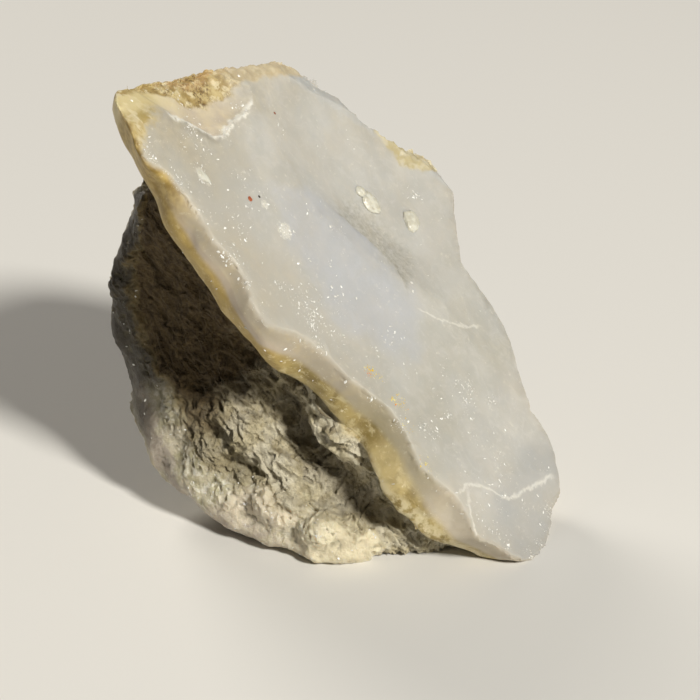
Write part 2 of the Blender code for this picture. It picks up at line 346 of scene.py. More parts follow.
# Heights of each finish, in millimetres. The rock's grain runs up along the slab, and it is
# crumbled low on the broken wall.
height = np.zeros(len(points))
places = np.stack([across, up, deep], axis=1)
rocky = np.flatnonzero(rock > 0.01)
spots = points[rocky]
drawn_out = spots - UP_SLAB * (0.5 * (spots @ UP_SLAB))[:, None]
crumbled = 1 - 0.6 * smoothstep(up[rocky] + 6 * lumpy(spots, 6.0, 34), 40, 50) * broken_wall[rocky]
crumbled -= 0.75 * (1 - broken_wall[rocky])
crumbs = (0.46 * ridged(drawn_out, 2.0, 31) + 0.36 * ridged(drawn_out, 0.95, 35)
          + 0.38 * chipped(drawn_out, 0.8, 3) + 0.20 * lumpy(drawn_out, 0.6, 32))
rocky_height = (0.45 * lumpy(drawn_out, 4.5, 2, 3) + 0.35 * chipped(drawn_out, 3.2, 2)
                + crumbled * crumbs - 0.5)
back = (1 - broken_wall[rocky]) * smoothstep(deep[rocky], 5.0, 10.0)
facets = 0.9 * chipped(spots, 7.5, 51) + 0.4 * chipped(spots, 2.6, 55)
rocky_height += back * (facets + 0.5 * lumpy(spots, 9.0, 52) - 0.4)
for place, reach, rise in LUMPS:
    rocky_height += rise * np.exp(-((places[rocky] - place) ** 2).sum(axis=1) / reach ** 2)
rocky_height -= 0.9 * np.exp(-near_line(places[rocky], GULLY) ** 2)
rocky_height -= 0.8 * np.exp(-near_line(places[rocky], SPLIT) ** 2)
height[rocky] += rock[rocky] * rocky_height

rinded = np.flatnonzero(rind > 0.01)
spots = points[rinded]
from_rim = near_line(places[rinded], RIM) + 0.2 * lumpy(spots, 3.5, 53)
granular = 0.35 + 0.65 * smoothstep(from_rim, 0.3, 0.6)
rind_height = (0.22 * knobbly(spots, 4.2, 5) + 0.2 * lumpy(spots, 2.5, 54)
               + granular * (0.30 * knobbly(spots, 1.4, 6) + 0.20 * chipped(spots, 1.1, 4)
                             + 0.16 * ridged(spots, 0.9, 33)) - 0.25)
rind_height -= 0.6 * np.exp(-near_line(places[rinded], SPLIT) ** 2)
height[rinded] += rind[rinded] * rind_height

smooth = np.flatnonzero(side < 0.99)
spots = points[smooth]
smooth_height = band[smooth] * (0.12 * lumpy(spots, 5.0, 13) + 0.03 * lumpy(spots, 1.3, 7))
smooth_height += face[smooth] * (0.10 * lumpy(spots, 7.0, 10) + 0.025 * lumpy(spots, 1.5, 9))
nibbled = smoothstep(chipped(spots, 1.3, 12), -0.1, 0.7) * smoothstep(lumpy(spots, 5.0, 18), -0.4, 0.2)
crest_share = 4 * crest[smooth] * (1 - crest[smooth])
fine_nibbles = smoothstep(chipped(spots, 0.7, 37), -0.2, 0.8)
smooth_height -= (0.24 * nibbled + 0.10 * fine_nibbles) * crest_share * (1 - side[smooth])
coated = coat[smooth] * (0.35 * knobbly(spots, 1.1, 8) + 0.15 * lumpy(spots, 0.7, 35) - 0.2)
height[smooth] += smooth_height + coated

seam = np.exp(-((rind - 0.5) / 0.3) ** 2) * side
height -= 0.25 * seam * smoothstep(lumpy(points, 4.0, 17), -0.3, 0.3)
tucked = 1 - smoothstep(up, 19, 22) * (1 - smoothstep(up, 34, 37))
height -= 0.30 * np.exp(-((deep - BAND_DEPTH - 0.8) / 0.5) ** 2) * side * broken_wall * tucked
tip = np.exp(-((places - TOP_CORNER) ** 2).sum(axis=1) / 6)
most = (0.06 + 0.22 * rock + 0.08 * rind + 0.05 * coat) * (1 - 0.85 * tip)
points = calm(mesh, points + outward * height[:, None], most, 2)
points[:, 2] = np.maximum(points[:, 2], 0)
mesh.vertices.foreach_set("co", (points * MM).ravel())
mesh.update()
thinned = stone.vertex_groups.new(name="thinned")
share_kept = np.round(broken_wall * rock * (deep < 30) * 4) / 4
for kept in np.unique(share_kept):
    members = np.flatnonzero(share_kept == kept).tolist()
    thinned.add(members, float(1 - 0.9 * kept), "REPLACE")
apply_modifier(stone, "Thinner", "DECIMATE", ratio=min(1, TRIANGLES / (2 * len(mesh.polygons))),
               use_collapse_triangulate=True, vertex_group="thinned", vertex_group_factor=1.0)
stone.vertex_groups.clear()

# Any crumb that came loose is taken away.
mesh = stone.data
bpy.ops.object.mode_set(mode="EDIT")
bpy.ops.mesh.select_all(action="DESELECT")
bpy.ops.object.mode_set(mode="OBJECT")
middle = SLAB_CORNER + 8 * ACROSS_SLAB + 35 * UP_SLAB
mesh.vertices[int(np.argmin(np.abs(read(mesh, "co") / MM - middle).sum(axis=1)))].select = True
bpy.ops.object.mode_set(mode="EDIT")
bpy.ops.mesh.select_linked()
bpy.ops.mesh.select_all(action="INVERT")
bpy.ops.mesh.delete(type="VERT")
bpy.ops.object.mode_set(mode="OBJECT")

# What the finish needs to know at each point goes with the mesh.
mesh = stone.data
points = read(mesh, "co") / MM
(across, up, deep), face, side, rind = finishes(mesh, points)
wall = smoothstep(-(spread_out(mesh, read(mesh, "normal"), 12) @ ACROSS_SLAB), 0.1, 0.5)
places = np.stack([across, up, deep], axis=1)
# The gully's mask carries painted shadow along the gully on the broken wall.
gully = 1 - smoothstep(near_line(places, GULLY), 0.6, 1.4)
hollow = ((spread_out(mesh, points, 5) - points) * read(mesh, "normal")).sum(axis=1)
behind = deep - face_fall(across, up) * (1 - smoothstep(deep, 2, 5))
layers = {
    "slab": (across, up, behind),
    "finish": (face, side * (1 - rind), rind),
    "relief": (hollow, spread_out(mesh, face, 8), wall * side),
    "edges": (crust_depth(across, up), near_line(places, RIM), gully * side),
}
for name, columns in layers.items():
    layer = mesh.attributes.new(name, "FLOAT_VECTOR", "POINT")
    layer.data.foreach_set("vector", np.stack(columns, axis=1).ravel())
bpy.ops.object.select_all(action="DESELECT")
stone.select_set(True)
bpy.context.view_layer.objects.active = stone
bpy.ops.object.shade_smooth_by_angle(angle=math.radians(36))


def linear(hex_colour):
    """An sRGB hex colour as the linear colour that a shader takes."""
    parts = [int(hex_colour[index:index + 2], 16) / 255 for index in (1, 3, 5)]
    parts = [part / 12.92 if part <= 0.04045 else ((part + 0.055) / 1.055) ** 2.4 for part in parts]
    return (*parts, 1.0)


FINER_BY = 2.0  # each finer octave of a noise has lumps this many times smaller


def add(kind, *inputs, out=None, **settings):
    """Add a node, fill its live sockets in order, and return its output.

    An input is a number, a tuple, a hex colour or another node's output. Where no operation is
    named, maths multiplies the first two inputs and adds the third, if there is one.
    """
    usual = {
        "Math": {"operation": "MULTIPLY_ADD" if len(inputs) == 3 else "MULTIPLY"},
        "MapRange": {"interpolation_type": "SMOOTHSTEP"},
        "Mix": {"data_type": "RGBA"},
    }
    node = tree.nodes.new("ShaderNode" + kind)
    for key, value in {**usual.get(kind, {}), **settings}.items():
        setattr(node, key, value)
    live = [socket for socket in node.inputs if socket.enabled]
    for socket, value in zip(live, inputs):
        if isinstance(value, bpy.types.NodeSocket):
            tree.links.new(value, socket)
        else:
            socket.default_value = linear(value) if isinstance(value, str) else value
    return node.outputs[out] if out else next((end for end in node.outputs if end.enabled), None)


def start_material(name):
    """A material and its node tree, with nothing in it yet."""
    material = bpy.data.materials.new(name)
    material.use_nodes = True
    material.node_tree.nodes.clear()
    return material, material.node_tree


def start_shader(settings):
    """The tree's surface shader, with the settings that are the same all over."""
    surface = add("BsdfPrincipled")
    add("OutputMaterial", surface)
    for name, value in settings.items():
        surface.node.inputs[name].default_value = value
    return surface.node


def place_in_mm():
    """The place on the object, in millimetres."""
    return add("VectorMath", add("TexCoord", out="Object"), 1 / MM, operation="SCALE")


# Agate in host rock: milky, slightly see-through chalcedony with a waxy broken surface, then a
# lavender and a honey band at the edge; the rock is dull, grainy and brown, the rind sugary.
QUARTZ_IOR = 1.54
agate, tree = start_material("Agate in host rock")
shader = start_shader({
    "IOR": QUARTZ_IOR, "Subsurface Radius": (1.0, 0.85, 0.65), "Subsurface Scale": 1.5 * MM,
})
where = place_in_mm()


def parts_of(name):
    """The three numbers that a layer of the mesh holds at each point."""
    layer = add("Attribute", out="Vector", attribute_name=name)
    return add("SeparateXYZ", layer).node.outputs


def cloud(size, shift, detail=3.0, roughness=0.55, distortion=0.0):
    """Cloudy noise from 0 to 1, with lumps of a size in millimetres."""
    moved = add("VectorMath", where, (shift, -shift, shift), operation="ADD")
    return add("TexNoise", moved, 1 / size, detail, roughness, FINER_BY, distortion)


def stretched(wide, long, shift):
    """Cloudy noise drawn out along the slab, with lumps of a width and a length in millimetres."""
    place = add(
        "CombineXYZ", add("Math", across_at, 1 / wide, shift), add("Math", up_at, 1 / long), behind_at,
    )
    return add("TexNoise", place, 1.0, 4.0, 0.6, FINER_BY, 0.4)


def along(value, low, high, line):
    """The height of a line, given as (place, height) points, at a place along the slab."""
    base = min(height for _, height in line)
    tall = max(height for _, height in line) - base
    share = add("MapRange", value, low, high, interpolation_type="LINEAR")
    curve = add("FloatCurve", 1.0, share)
    marks = curve.node.mapping.curves[0].points
    for index, (place, height) in enumerate(line):
        x, y = (place - low) / (high - low), (height - base) / tall
        if index in (0, len(line) - 1):
            mark = marks[0 if index == 0 else -1]
            mark.location = (x, y)
        else:
            mark = marks.new(x, y)
        mark.handle_type = "VECTOR"
    curve.node.mapping.update()
    return add("Math", curve, tall, base)


def spot(middle_a, middle_u, wide, high, soft, ragged):
    """A ragged round spot on the slab: 1 inside, 0 outside, with sizes in millimetres."""
    a = add("Math", add("Math", across_at, middle_a, operation="SUBTRACT"), 1 / wide)
    u = add("Math", add("Math", up_at, middle_u, operation="SUBTRACT"), 1 / high)
    far = add("Math", u, u, add("Math", a, a, ragged))
    return add("MapRange", far, 1.0 - soft, 1.0 + soft, 1.0, 0.0)


across_at, up_at, behind_at = parts_of("slab")
face_at, rock_at, rind_at = parts_of("finish")
hollow_shade_at, crest_at, wall_at = parts_of("relief")
crust_at, rim_at, gully_shade_at = parts_of("edges")
clouds = cloud(6.0, 0.0, 4.0)
veil = cloud(2.2, 31.0, 5.0, 0.6, 1.5)
fine = cloud(0.7, 11.0, 3.0, 0.7)

# The milky face, cooler in its middle and at its foot, veiled and frosted.
milk = add("Mix", add("MapRange", clouds, 0.36, 0.62), "#b9b8b3", "#afafab")
milk = add("Mix", add("MapRange", veil, 0.48, 0.68, 0.0, 0.5), milk, "#c1c0bc")
uneven = add("Math", clouds, 2.4, -1.2)
left = add(
    "Math", across_at, add("Math", clouds, 8.0, add("Math", up_at, -0.06, -1.0)), operation="ADD",
)
milk = add("Mix", add("MapRange", left, -3.0, 6.0, 1.0, 0.0), milk, "#b0ada4")
past_ridge = add("Math", across_at, along(up_at, 30.0, 50.0, RIDGE), operation="SUBTRACT")
on_ridge = add("Math", add("MapRange", up_at, 32.0, 35.0), add("MapRange", up_at, 45.0, 49.0, 1.0, 0.0))
over = add("Math", add("MapRange", past_ridge, -0.3, 0.3), on_ridge)
blue = add("Math", spot(12.0, 41.0, 8.0, 13.0, 0.45, uneven), 0.62)
milk = add("Mix", spot(3.0, 66.0, 9.0, 9.0, 0.6, uneven), milk, "#abaaa4")
milk = add("Mix", add("Math", blue, add("Math", over, -1.0, 1.0)), milk, "#adb2bb")
milk = add("Mix", add("Math", spot(9.0, 1.5, 12.5, 6.5, 0.6, uneven), 0.7), milk, "#979a9c")
# Painted shade: past the ridge the face is painted darker, with frosty scratches, beside the ridge.
dim = add("Math", over, add("MapRange", add("Math", veil, 4.0, past_ridge), 4.5, 10.0, 1.0, 0.0))
milk = add(
    "Mix", add("Math", dim, add("MapRange", cloud(0.6, 89.0, 4.0, 0.7), 0.3, 0.7, 0.0, 0.85)), milk,
    "#8b8a82",
)
frost = add(
    "Math", add("MapRange", fine, 0.55, 0.72), add("MapRange", cloud(2.6, 33.0), 0.45, 0.65, 0.0, 0.5),
)
FROSTED_SPOTS = [(1.1, 62.6, 0.7, 1.2), (6.7, 50.6, 1.1, 0.9), (6.8, 54.7, 0.6, 0.45)]
for middle_a, middle_u, wide, high in FROSTED_SPOTS:
    frosted = spot(middle_a, middle_u, wide, high, 0.8, add("Math", fine, 6.0, -3.0))
    frost = add("Math", frost, add("Math", frosted, 0.8), operation="MAXIMUM")
milk = add("Mix", frost, milk, "#d9d7cd")

# The flake scar at the top is creamier, and the corner turns to translucent, streaky yellow.
flake_line = along(across_at, 3.5, 19.5, FLAKE_EDGE)
above = add("Math", up_at, flake_line, operation="SUBTRACT")
ends = add(
    "Math", add("MapRange", across_at, 3.6, 5.0), add("MapRange", across_at, 12.0, 20.0, 1.0, 0.0),
)
cream = add("Mix", add("MapRange", cloud(2.4, 45.0), 0.35, 0.65), "#c2b8aa", "#cfc4ae")
milk = add("Mix", add("Math", add("MapRange", above, -0.1, 0.2, 0.0, 0.9), ends), milk, cream)
# Painted shade on the step just below the flake scar's edge.
ledge_shade = add("Math", add("MapRange", above, -2.4, -1.4), add("MapRange", above, -0.5, -0.05, 1.0, 0.0))
ledge_shade = add("Math", ledge_shade, add("MapRange", across_at, 6.5, 8.5, 1.0, 0.0))
milk = add("Mix", add("Math", ledge_shade, add("MapRange", across_at, 2.5, 4.0, 0.0, 0.5)), milk, "#97948b")
yellow = add("Mix", add("MapRange", cloud(1.6, 35.0, 4.0), 0.35, 0.65), "#9f8b4c", "#b5a476")
yellow = add(
    "Mix", add("MapRange", cloud(2.4, 38.0, 4.0, 0.6, 1.0), 0.46, 0.62, 0.0, 0.8), yellow, "#c8bb97",
)
yellow = add("Mix", add("MapRange", stretched(1.2, 2.2, 3.0), 0.54, 0.66, 0.0, 0.6), yellow, "#dbd0ae")
corner = add("Math", up_at, add("Math", across_at, 0.3, 71.6), operation="SUBTRACT")
corner = add("Math", corner, add("Math", veil, 3.6, -1.8), operation="ADD")
corner = add(
    "Math", add("MapRange", corner, -0.9, 1.2, 0.0, 0.9),
    add("MapRange", across_at, 5.0, 8.5, 1.0, 0.0),
)
milk = add("Mix", corner, milk, yellow)

# The bands: lavender-grey next to the face, then honey, cloudy inside and frosty at its foot.
wobble = add("Math", cloud(5.0, 5.0, 3.0, 0.5), 2.4, -1.2)
in_band = add("Math", wobble, 0.5, behind_at)
lavender = add("Mix", cloud(3.5, 2.0), "#9f9582", "#ada28c")
lavender = add("Mix", add("MapRange", cloud(2.6, 27.0), 0.46, 0.68, 0.0, 0.7), lavender, "#b5a685")
olive = add("Math", add("MapRange", up_at, 13.0, 18.0), add("MapRange", up_at, 27.0, 34.0, 1.0, 0.0))
lavender = add("Mix", add("Math", olive, 0.8), lavender, add("Mix", veil, "#928869", "#a59b7e"))
lavender = add(
    "Mix", add("MapRange", up_at, 10.0, 17.0, 1.0, 0.0), lavender,
    add("Mix", veil, "#b5aa96", "#c9bfac"),
)
honey = add("Mix", add("MapRange", cloud(2.6, 7.0, 4.0, 0.6, 0.8), 0.35, 0.65), "#85723c", "#ae9b63")
honey = add("Mix", add("MapRange", stretched(0.8, 1.9, 9.0), 0.54, 0.68, 0.0, 0.75), honey, "#c6b88c")
honey = add("Mix", add("MapRange", cloud(0.9, 57.0, 4.0, 0.7), 0.6, 0.7, 0.0, 0.7), honey, "#e0d6b4")
honey = add("Mix", add("Math", spot(-4.2, 21.5, 4.0, 3.5, 0.8, uneven), 0.5), honey, "#cbba8b")
honey_from = along(up_at, 5.0, 62.0, [
    (5, 3.0), (8, 3.2), (13, 2.9), (16.4, 2.1), (19, 1.7), (22, 1.4), (24.4, 2.1), (27.2, 2.9),
    (29.4, 2.9), (32.4, 2.2), (35.1, 2.7), (38.9, 2.6), (42, 2.8), (50, 2.7), (62, 2.5),
])
past = add("Math", in_band, honey_from, operation="SUBTRACT")
edge = add("Mix", add("MapRange", past, -0.5, 0.7), lavender, honey)
# Painted light: high up, the band just behind the crest is painted paler where it turns away from the
# lamp.
upper_band_light = add("Math", add("MapRange", behind_at, 0.9, 2.2), add("MapRange", up_at, 37.0, 43.0, 0.0, 0.45))
edge = add("Mix", upper_band_light, edge, add("Mix", add("MapRange", past, -0.3, 0.5), "#d6c6b4", "#cdae62"))
glassy_yellow = add("Mix", add("MapRange", cloud(1.3, 39.0, 4.0), 0.35, 0.65), "#957828", "#bda35c")
edge = add("Mix", add("MapRange", up_at, 58.0, 66.0, 0.0, 0.9), edge, glassy_yellow)
low = add("Math", add("MapRange", up_at, 15.0, 22.0, 1.0, 0.0), 1.3)
foot = add(
    "Math", add("MapRange", add("Math", behind_at, low, operation="ADD"), 4.0, 5.6),
    add("MapRange", cloud(1.1, 55.0, 4.0, 0.6), 0.38, 0.56, 0.0, 0.85),
)
edge = add("Mix", add("Math", foot, add("MapRange", up_at, 20.0, 34.0, 1.0, 0.25)), edge, "#d3c7a2")
edge = add("Mix", add("MapRange", fine, 0.6, 0.72, 0.0, 0.3), edge, "#ddd3b9")
pale = add("Mix", add("MapRange", add("Math", wobble, 0.12, behind_at), -0.3, 0.7), milk, edge)
# Painted shade: the rounded crest is painted darker below the top corner, to damp the bright line of
# light along it; the same mask makes the crest rougher, as it is chipped and frosted.
crest_shade_and_frost = add("Math", add("Math", crest_at, add("Math", crest_at, -1.0, 1.0)), 1.6)
pale = add("Mix", add("Math", crest_shade_and_frost, add("MapRange", up_at, 66.0, 60.0)), pale, "#857e70")

# Yellow-brown earthy crust on the bevels along the top, and a paler one at the right.
ragged = add("Math", cloud(2.4, 41.0, 4.0, 0.6), 3.0, -1.5)
earthy = add("MapRange", add("Math", crust_at, ragged, operation="ADD"), -0.4, 0.5, 0.0, 0.95)
dirty = add(
    "Math", add("MapRange", cloud(0.42, 51.0, 4.0, 0.75), 0.46, 0.58),
    add("MapRange", cloud(3.0, 44.0), 0.42, 0.55),
)
off_middle = add("Math", add("Math", across_at, 0.075, -0.9), operation="ABSOLUTE")
dirty = add("Math", dirty, add("Math", off_middle, -1.0, 1.0))
crust = add("Mix", add("MapRange", cloud(1.3, 47.0, 4.0), 0.4, 0.62), "#98824e", "#bba979")
crust = add("Mix", add("MapRange", cloud(1.0, 61.0, 4.0, 0.6), 0.5, 0.62, 0.0, 0.75), crust, "#d3c7a4")
crust = add("Mix", add("Math", dirty, 0.0, operation="MAXIMUM"), crust, "#5e451d")
crust = add("Mix", add("MapRange", across_at, 16.0, 21.0, 0.0, 0.7), crust, "#beb197")
rusty = add(
    "Math", add("MapRange", crust_at, 2.2, 3.2),
    add("MapRange", cloud(1.6, 67.0), 0.4, 0.6, 0.0, 0.55),
)
crust = add("Mix", rusty, crust, "#a8895a")
crust = add(
    "Mix", add("MapRange", across_at, 33.0, 36.0, 0.0, 0.8), crust,
    add("Mix", add("MapRange", cloud(1.6, 63.0, 4.0), 0.4, 0.6), "#aea27a", "#c3bba0"),
)
top_line = add(
    "Math", add("MapRange", add("Math", crust_at, ragged, operation="ADD"), -3.8, -1.4, 0.0, 0.66),
    add("MapRange", across_at, 5.0, 9.0, 1.0, 0.0),
)
pale = add("Mix", add("Math", top_line, add("MapRange", up_at, 66.0, 70.0)), pale, "#d8ca9e")
pale = add("Mix", earthy, pale, crust)

# White, healed cracks.
tip_line = along(across_at, -4.5, 17.0, [
    (-4.5, 8.1), (-2.4, 12.6), (0.6, 12.4), (2.9, 10.3), (4.9, 7.2), (6.1, 5.9), (7.8, 5.1), (9.9, 4.3),
    (13.6, 2.9), (17, 1.6),
])
tip_fork = along(
    across_at, -5.0, 0.8, [(-5.0, 6.3), (-4.0, 8.3), (-2.6, 10.0), (-0.4, 11.6), (0.8, 12.2)],
)
lift_line = along(
    across_at, 17.4, 27.0,
    [(17.4, 32.1), (17.6, 30.5), (19.4, 27.4), (21.5, 24.8), (24, 23.0), (27, 21.0)],
)
bend = add("Math", cloud(1.2, 71.0), 1.6, -0.8)
for line, low, high, wide, strength in (
    (flake_line, 3.2, 9.0, 1.1, 1.0), (flake_line, 7.5, 19.0, 0.6, 1.0),
    (tip_line, -2.0, 16.5, 0.5, 0.5), (tip_fork, -5.2, 0.6, 0.6, 0.45),
    (lift_line, 17.4, 26.5, 0.4, 0.45),
):
    gap = add(
        "Math", add("Math", add("Math", up_at, line, operation="SUBTRACT"), bend, operation="ADD"),
        operation="ABSOLUTE",
    )
    shown = add("MapRange", across_at, high - 1.5, high, 1.0, 0.0)
    shown = add("Math", add("MapRange", across_at, low, low + 0.6), shown)
    shown = add("Math", shown, add("MapRange", gap, 0.04, wide, 1.0, 0.0))
    shown = add("Math", shown, add("MapRange", cloud(0.8, 81.0), 0.25, 0.5, 0.0, strength))
    pale = add("Mix", add("Math", shown, face_at), pale, "#dedbd1")

# Rough brown host rock with a few dark hairline cracks, darker further from the slab on the broken wall.
# High on the broken wall and along the gully it takes a shaded colour, as painted shade of the
# overhanging slab; on its back the same colour makes blotchy mottling.
HAIRS_PER_MM = 0.45
grain = cloud(0.8, 3.0, 5.0, 0.7)
earth = add("Mix", add("MapRange", grain, 0.32, 0.66), "#d3c69f", "#ebdfbc")
earth = add("Mix", add("MapRange", cloud(3.0, 23.0, 4.0), 0.42, 0.6, 0.0, 0.8), earth, "#f7efd6")
# Dark specks: painted shade in tiny pits.
earth = add(
    "Mix", add("MapRange", cloud(0.34, 93.0, 3.0, 0.75), 0.56, 0.68, 0.0, 0.45), earth, "#8a7850",
)
earth = add("Mix", add("MapRange", cloud(0.3, 97.0, 2.0, 0.7), 0.6, 0.7, 0.0, 0.5), earth, "#f3ebd4")
shade = add("Mix", add("MapRange", grain, 0.3, 0.72), "#4e3d22", "#7a6640")
# Painted shade: the shaded colour high on the broken wall stands in for the slab's shadow.
shade_height = add("Math", cloud(5.0, 9.0, 5.0, 0.6), 22.0, add("Math", up_at, 11.0, operation="SUBTRACT"))
shaded = add("Math", add("MapRange", shade_height, 32.5, 43.0), wall_at)
mottled = add(
    "Math", add("MapRange", cloud(7.0, 29.0, 5.0, 0.6), 0.42, 0.62, 0.0, 0.6),
    add("Math", wall_at, -1.0, 1.0),
)
shaded = add(
    "Math", add("Math", shaded, mottled, operation="MAXIMUM"), add("Math", gully_shade_at, 0.55),
    operation="MAXIMUM",
)
earth = add(
    "Mix", add("Math", add("MapRange", behind_at, 17.0, 23.0, 0.0, 0.55), wall_at), earth, "#85764f",
)
earth = add("Mix", shaded, earth, shade)
hair = add("TexNoise", where, HAIRS_PER_MM, 4.0, 0.55, FINER_BY, 1.2)
hair = add("Math", add("Math", hair, 0.5, operation="SUBTRACT"), operation="ABSOLUTE")
hair = add("MapRange", hair, 0.0, 0.014, 1.0, 0.0)
split = add("Math", hair, add("MapRange", cloud(3.0, 91.0), 0.44, 0.58))
earth = add("Mix", add("Math", split, add("Math", shaded, 0.4, 0.2)), earth, "#2c2213")
# Painted shade in the hollows of the rock, darker still where the rock is painted shaded.
sunk_shade = add("Math", add("MapRange", hollow_shade_at, 0.0, 0.14, 0.0, 0.42), add("Math", wall_at, 0.6, 0.4))
earth = add("Mix", sunk_shade, earth, "#6a5836")
earth = add(
    "Mix", add("Math", add("MapRange", hollow_shade_at, 0.03, 0.16, 0.0, 0.4), shaded), earth, "#33280f",
)
earth = add("Mix", add("Math", wall_at, -1.0, 1.0), earth, add("Mix", 0.3, earth, "#8a7a58"))

# Rind of small chalcedony crystals, greyish outside and greenish-yellow next to the rock.
knob = add("Mix", add("MapRange", cloud(2.2, 4.0, 4.0), 0.38, 0.62), "#aea884", "#d3cdb4")
knob = add("Mix", add("MapRange", cloud(1.0, 14.0, 4.0, 0.65), 0.48, 0.6, 0.0, 0.85), knob, "#f1eee2")
knob = add("Mix", add("MapRange", cloud(3.4, 34.0), 0.48, 0.62, 0.0, 0.8), knob, "#ddd3bd")
lump = spot(-7.2, 25.4, 2.6, 3.4, 0.5, add("Math", veil, 2.0, -1.0))
knob = add("Mix", add("Math", lump, 0.85), knob, "#dacdb9")
skin = add("Mix", add("MapRange", cloud(3.0, 24.0), 0.4, 0.62), "#a79a95", "#c6bab2")
outer = add("Math", rim_at, add("Math", veil, 0.7, -0.35), operation="ADD")
knob = add("Mix", add("MapRange", outer, 0.12, 0.4, 1.0, 0.0), knob, skin)
# Low down the rind is paler, partly its cream crystals and partly painted light; higher up it is painted
# darker, as painted shade under the overhanging slab.
knob = add("Mix", add("MapRange", up_at, 15.0, 25.0, 1.0, 0.3), knob, "#e0d5b6")
knob = add("Mix", add("MapRange", up_at, 29.0, 34.0, 0.0, 0.2), knob, "#5d523c")
upper_rind_shade = add("Math", add("MapRange", add("Math", clouds, 12.0, up_at), 42.0, 53.0, 0.0, 0.96), wall_at)
knob = add("Mix", upper_rind_shade, knob, "#2f2614")
# Painted shade in the rind's hollows.
knob = add("Mix", add("MapRange", hollow_shade_at, 0.0, 0.16, 0.0, 0.5), knob, "#6f6749")

colour = add("Mix", rock_at, pale, earth)
colour = add("Mix", rind_at, colour, knob)
tree.links.new(colour, shader.inputs["Base Color"])

glassy = add("Math", rock_at, -1.0, 1.0)
tree.links.new(add("Math", glassy, 0.55), shader.inputs["Subsurface Weight"])
dull = add("Math", add("Math", rock_at, 0.35, 0.36), crest_shade_and_frost, operation="ADD")
tree.links.new(add("Math", cloud(1.0, 19.0), 0.25, dull), shader.inputs["Roughness"])

# Fine pits and crumbs: a quarter of a millimetre in the rock, sugary on the rind, faint on the face.
CRUMBS_PER_MM = 1.1
crumb = add("TexVoronoi", where, CRUMBS_PER_MM)
crumb = add("Math", crumb, add("Math", rock_at, 0.35, add("Math", rind_at, 0.25)))
rough = add("Math", add("Math", rock_at, 2.4), add("Math", rind_at, 0.7, 0.06), operation="ADD")
pits = add("Math", cloud(0.7, 6.0, 5.0, 0.75), rough)
pits = add("Math", pits, crumb, operation="SUBTRACT")
pits = add("Math", pits, add("Math", add("Math", split, rock_at), 0.3), operation="SUBTRACT")
bump = add("Bump", 1.0, 0.5 * MM)
tree.links.new(pits, bump.node.inputs["Height"])
tree.links.new(bump, shader.inputs["Normal"])

stone.data.materials.append(agate)
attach(stone, "root")
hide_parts("blue_lace_agate")

# ------------------------------------------------------------------------------------------------
# The sparkle: small fresh crystal faces of quartz that catch the light, thick along the chipped
# crest, in clusters on the face, and thin on the bands and the rind. They grew with the stone.

GLINT_CLUSTERS = [  # across, up, reach and strength
    (-3.2, 38.3, 0.8, 1), (-1.4, 40.6, 1.2, 1.6), (0.3, 41.5, 1.2, 1.2), (-0.3, 44.1, 0.9, 1),
    (-1, 46.4, 0.8, 0.8), (0.9, 37.6, 1.6, 0.6), (3.6, 43.7, 0.8, 0.4), (7, 39.9, 0.9, 0.5),
    (9.4, 43.3, 0.7, 0.4), (5.4, 31.7, 0.8, 0.6), (13.1, 22.7, 0.7, 0.7), (13.2, 20.1, 0.7, 0.9),
    (15.2, 18.4, 0.9, 1), (17.6, 14.8, 0.7, 1.3), (12.6, 17.9, 0.8, 1), (7.5, 19.1, 0.6, 0.8),
    (11.3, 16, 0.7, 0.8), (1.6, 21.4, 0.9, 1.5), (2.9, 19.5, 0.9, 1.3), (8.4, 14.5, 1, 0.5),
    (7.2, 7.9, 2, 0.3), (6.5, 58.1, 0.8, 0.5), (-3.4, 64, 0.9, 1.2), (-0.2, 54.7, 1.4, 0.4),
    (-5.2, 53.5, 1, 1), (-6, 50.6, 0.8, 1), (5.1, 66.5, 0.8, 0.8), (35.4, 39.6, 0.8, 1),
    (31.1, 51, 0.6, 0.5), (20.1, 59.4, 0.4, 0.8), (1, 63.1, 0.7, 2.5), (1.4, 61.9, 0.4, 2),
    (6.6, 50.8, 0.7, 3), (7.4, 49.9, 0.4, 2), (6.8, 54.7, 0.45, 2.5), (5.2, 67.6, 0.6, 1.2),
    (7.2, 65.9, 0.5, 1.2), (10.5, 64.4, 0.6, 1.5), (16.5, 65.4, 0.6, 1.5),
]
GLINT_COUNT = 5200
GLINT_SIZES = (0.03, 0.31)  # half lengths of the smallest and the largest, in millimetres

bpy.ops.object.select_all(action="DESELECT")
bpy.ops.mesh.primitive_ico_sphere_add(subdivisions=1, radius=1.0)
flake = bpy.context.object
flake.scale = (1.0, 0.5, 0.3)
bpy.ops.object.transform_apply(scale=True)
flake_points = read(flake.data, "co")
flake_faces = np.array([face.vertices[:] for face in flake.data.polygons])
bpy.data.objects.remove(flake)

mesh = stone.data
mesh.calc_loop_triangles()
corners = np.empty(len(mesh.loop_triangles) * 3, int)
mesh.loop_triangles.foreach_get("vertices", corners)
corners = corners.reshape(-1, 3)
stone_points = read(mesh, "co") / MM
middles = stone_points[corners].mean(axis=1)
slopes = np.cross(stone_points[corners[:, 1]] - stone_points[corners[:, 0]],
                  stone_points[corners[:, 2]] - stone_points[corners[:, 0]])
areas = np.linalg.norm(slopes, axis=1) / 2
slopes /= np.maximum(2 * areas, 1e-9)[:, None]


def at_corners(values):
    """The mean of a value over the three corners of each triangle."""
    return values[corners].mean(axis=1)


